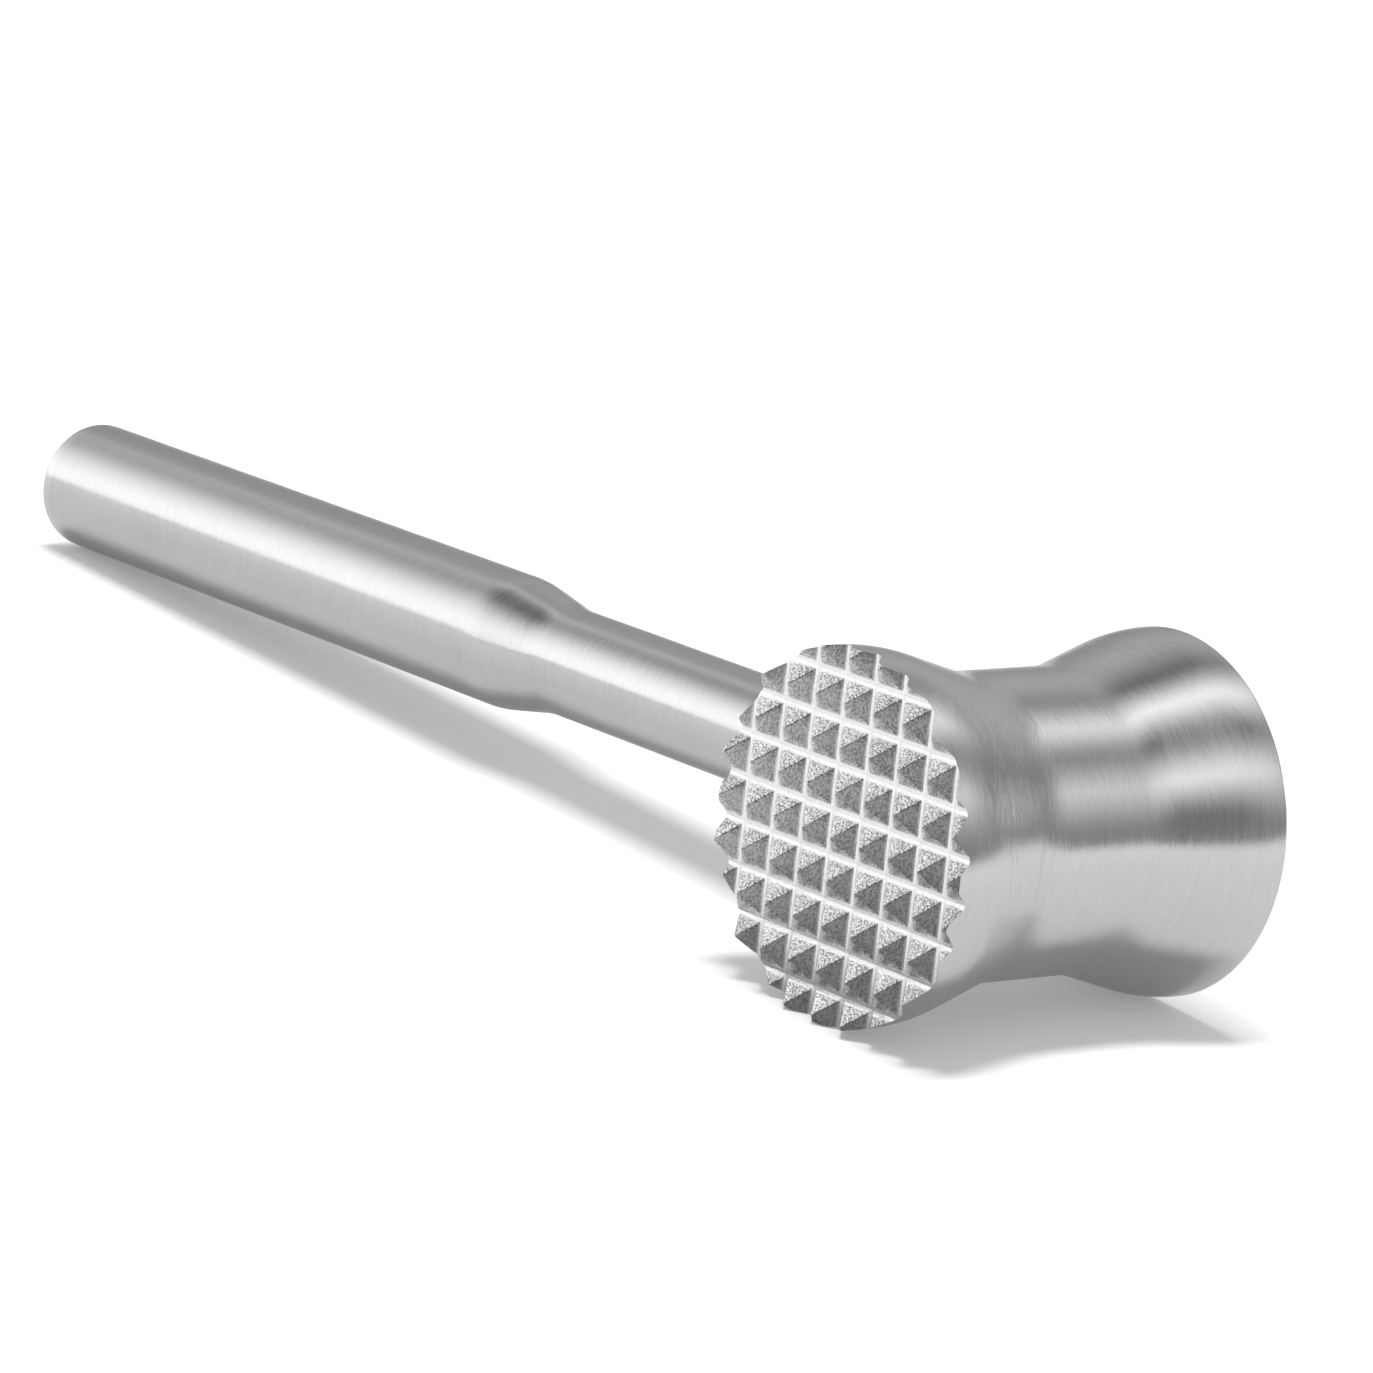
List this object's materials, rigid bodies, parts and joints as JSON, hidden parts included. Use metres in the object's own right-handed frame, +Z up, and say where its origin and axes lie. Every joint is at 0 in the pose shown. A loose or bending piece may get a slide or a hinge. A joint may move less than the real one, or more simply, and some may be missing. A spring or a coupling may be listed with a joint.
{
  "type": "meat mallet",
  "caption": "Steel meat mallet: waisted round head with a toothed face and a flat face, on a stepped tubular handle.",
  "frame": {"origin": "centre of the flat striking face", "axes": "+X out of the flat striking face along the head's axis, +Y towards the handle's butt, +Z up as the mallet lies on a worktop, resting on both rims and the butt"},
  "size_m": [0.0643, 0.2821, 0.056],
  "materials": {
    "brushed_body": "brushed round the head's axis",
    "cast_teeth": "fine cast grain, unpolished",
    "brushed_face": "turned flat, fine rings",
    "brushed_handle": "brushed round the handle's axis",
    "brushed_cap": "brushed round the handle's axis",
    "machined_insert": "machined",
    "plated_fixing": "plain, slightly dull"
  },
  "bodies": {
    "root": {"head_shell": "brushed_body", "toothed_face_plate": "cast_teeth", "flat_face_plate": "brushed_face", "handle_tube": "brushed_handle", "butt_cap": "brushed_cap", "neck_plug": "machined_insert", "saddle_washer": "machined_insert", "lock_washer": "plated_fixing", "head_screw": "plated_fixing"}
  },
  "joints": []
}
